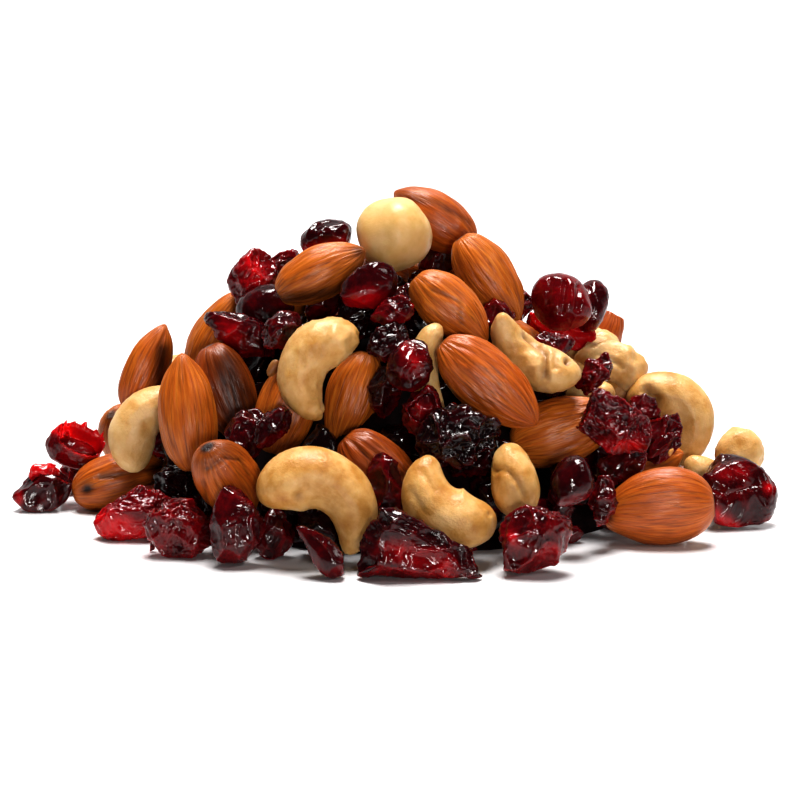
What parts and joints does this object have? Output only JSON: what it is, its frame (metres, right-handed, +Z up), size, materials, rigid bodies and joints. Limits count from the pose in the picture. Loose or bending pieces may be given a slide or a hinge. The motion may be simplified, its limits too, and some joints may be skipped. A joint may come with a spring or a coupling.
{
  "type": "heap of trail mix",
  "caption": "Loose heap of trail mix on a flat surface: almonds, cashews, a round blanched nut and dried cranberries.",
  "frame": {"origin": "middle of the heap's footprint, on the surface that it lies on", "axes": "+Z up, +X along the heap's long side, -Y towards its front, the side that is laid out piece by piece"},
  "size_m": [0.1577, 0.1171, 0.066],
  "materials": {
    "trail_mix": "satin brown, the mean of the nuts and the berries",
    "almond_skin": "reddish brown skin with fine ridges along the nut, satin",
    "cashew": "pale gold roasted kernel, satin",
    "blanched_nut": "cream, smooth, satin",
    "dried_cranberry": "dark red, wrinkled, glossy, lit red where thin"
  },
  "bodies": {
    "root": {"trail_mix_heap": "trail_mix"}
  },
  "joints": []
}
